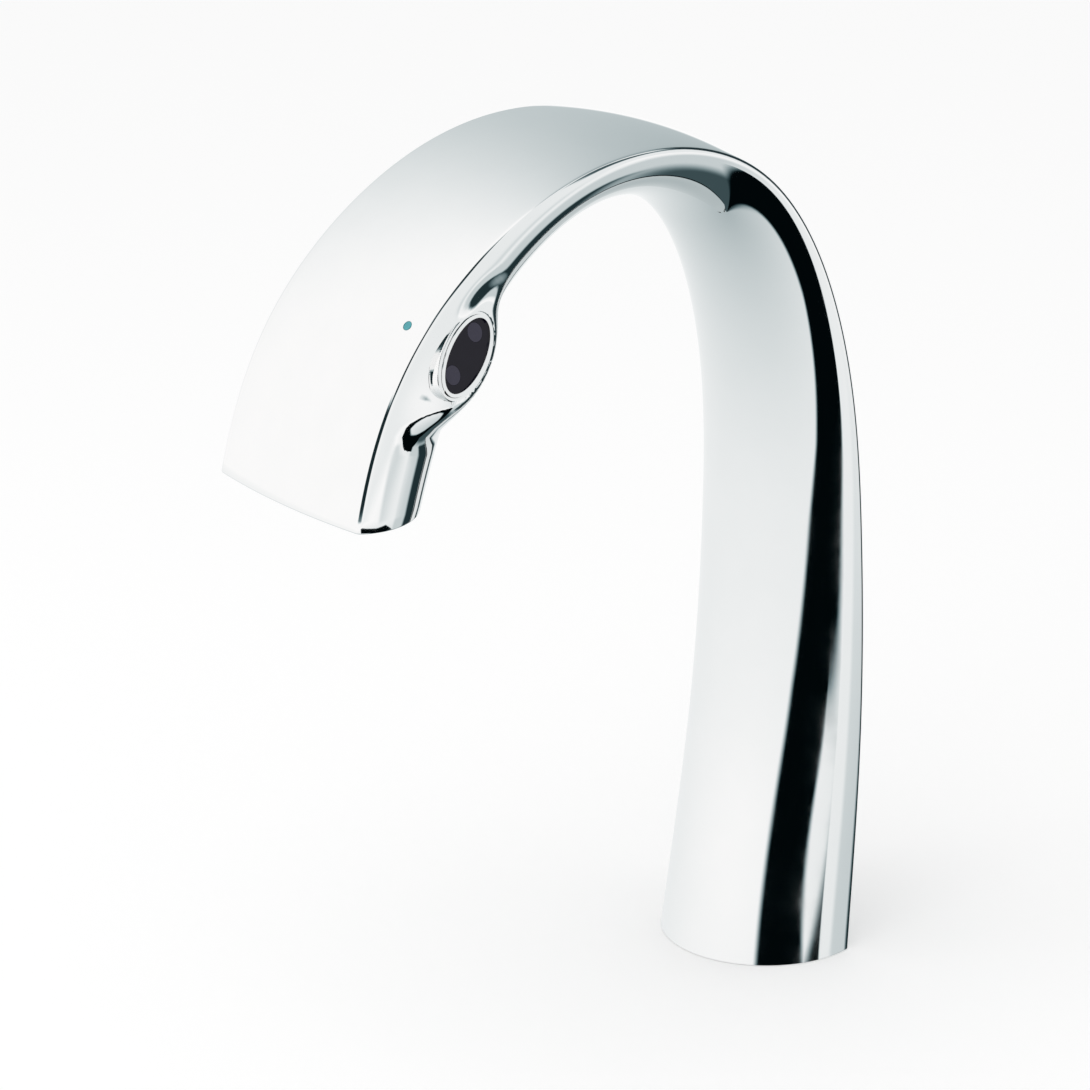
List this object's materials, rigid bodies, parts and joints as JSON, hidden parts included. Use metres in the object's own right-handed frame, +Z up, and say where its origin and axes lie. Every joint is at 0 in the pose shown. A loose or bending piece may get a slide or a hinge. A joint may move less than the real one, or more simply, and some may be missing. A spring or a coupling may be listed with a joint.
{
  "type": "deck-mounted touchless basin tap",
  "caption": "Arched chrome basin tap with a sensor window on the side of its spout, its water tube, check valve, aerator and deck clamp.",
  "frame": {"origin": "on the deck, in the middle of the hole that the tap is fitted through, under the middle of its base", "axes": "+X points from the base towards the user, under the arch; +Y to the side that carries the sensor; +Z up"},
  "size_m": [0.1877, 0.0759, 0.3217],
  "materials": {
    "plated_brass": "polished chrome plate on cast brass",
    "smoked_window": "gloss, dark smoked acrylic that passes infrared",
    "lens_plastic": "gloss, dark tinted lens",
    "black_rubber": "matt black nitrile rubber",
    "black_plastic": "fine matt moulded finish",
    "board_green": "solder mask on glass fibre board",
    "emitter_epoxy": "clear violet epoxy",
    "receiver_epoxy": "black epoxy",
    "light_pipe": "clear teal light pipe",
    "led_white": "white moulded case",
    "cable_jacket": "satin black jacket",
    "white_plastic": "satin acetal",
    "water_tube": "cross-linked polyethylene tube",
    "spring_steel": "drawn stainless wire",
    "stainless": "bare stainless steel",
    "zinc_steel": "bright zinc plate on steel",
    "bare_brass": "machined brass"
  },
  "bodies": {
    "tap": {"spout_body": "plated_brass", "window_bezel": "plated_brass", "sensor_window": "smoked_window", "emitter_lens": "lens_plastic", "receiver_lens": "lens_plastic", "window_gasket": "black_rubber", "sensor_housing": "black_plastic", "sensor_board": "board_green", "emitter_led": "emitter_epoxy", "receiver_diode": "receiver_epoxy", "light_baffle": "black_plastic", "indicator_lens": "light_pipe", "indicator_led": "led_white", "cable_gland": "black_rubber", "sensor_cable": "cable_jacket", "cable_socket": "black_plastic", "neck_spacers": "white_plastic", "waterway_tube": "water_tube", "tube_seals": "black_rubber", "inlet_fitting": "bare_brass", "inlet_strainer": "stainless", "check_cage": "white_plastic", "check_spring": "spring_steel", "nozzle_block": "bare_brass", "nozzle_screws": "stainless", "base_plate": "bare_brass", "base_gasket": "black_rubber", "plate_screws": "stainless", "mount_stud": "zinc_steel"},
    "clamp": {"clamp_plate": "zinc_steel", "clamp_pad": "black_rubber"},
    "nut": {"clamp_nut": "bare_brass"},
    "aerator_insert": {"aerator_cage": "white_plastic", "aerator_screens": "stainless", "aerator_washer": "black_rubber"},
    "aerator_collar": {"aerator_ring": "plated_brass"},
    "poppet": {"check_poppet": "white_plastic"}
  },
  "joints": [
    {"name": "clamp_slide", "type": "slide", "parent": "tap", "child": "clamp", "axis": [0, 0, 1], "range_m": [-0.025, 0.017]},
    {"name": "nut_turn", "type": "hinge", "parent": "clamp", "child": "nut", "pos_m": [-0.0102, 0, -0.0295], "axis": [0, 0, 1], "range_deg": [-7205, 4900]},
    {"name": "insert_slide", "type": "slide", "parent": "tap", "child": "aerator_insert", "axis": [0, 0, -1], "range_m": [0, 0.012]},
    {"name": "aerator_turn", "type": "hinge", "parent": "aerator_insert", "child": "aerator_collar", "pos_m": [0.142, 0, 0.1755], "axis": [0, 0, -1], "range_deg": [0, 4320]},
    {"name": "poppet_lift", "type": "slide", "parent": "tap", "child": "poppet", "axis": [0, 0, 1], "range_m": [0, 0.0025], "deforming": ["check_spring"]}
  ],
  "couplings": [
    {"joint": "nut_turn", "follows": "clamp_slide", "rad_per_m": 5026.5},
    {"joint": "insert_slide", "follows": "aerator_turn", "m_per_rad": 0.00015915}
  ]
}
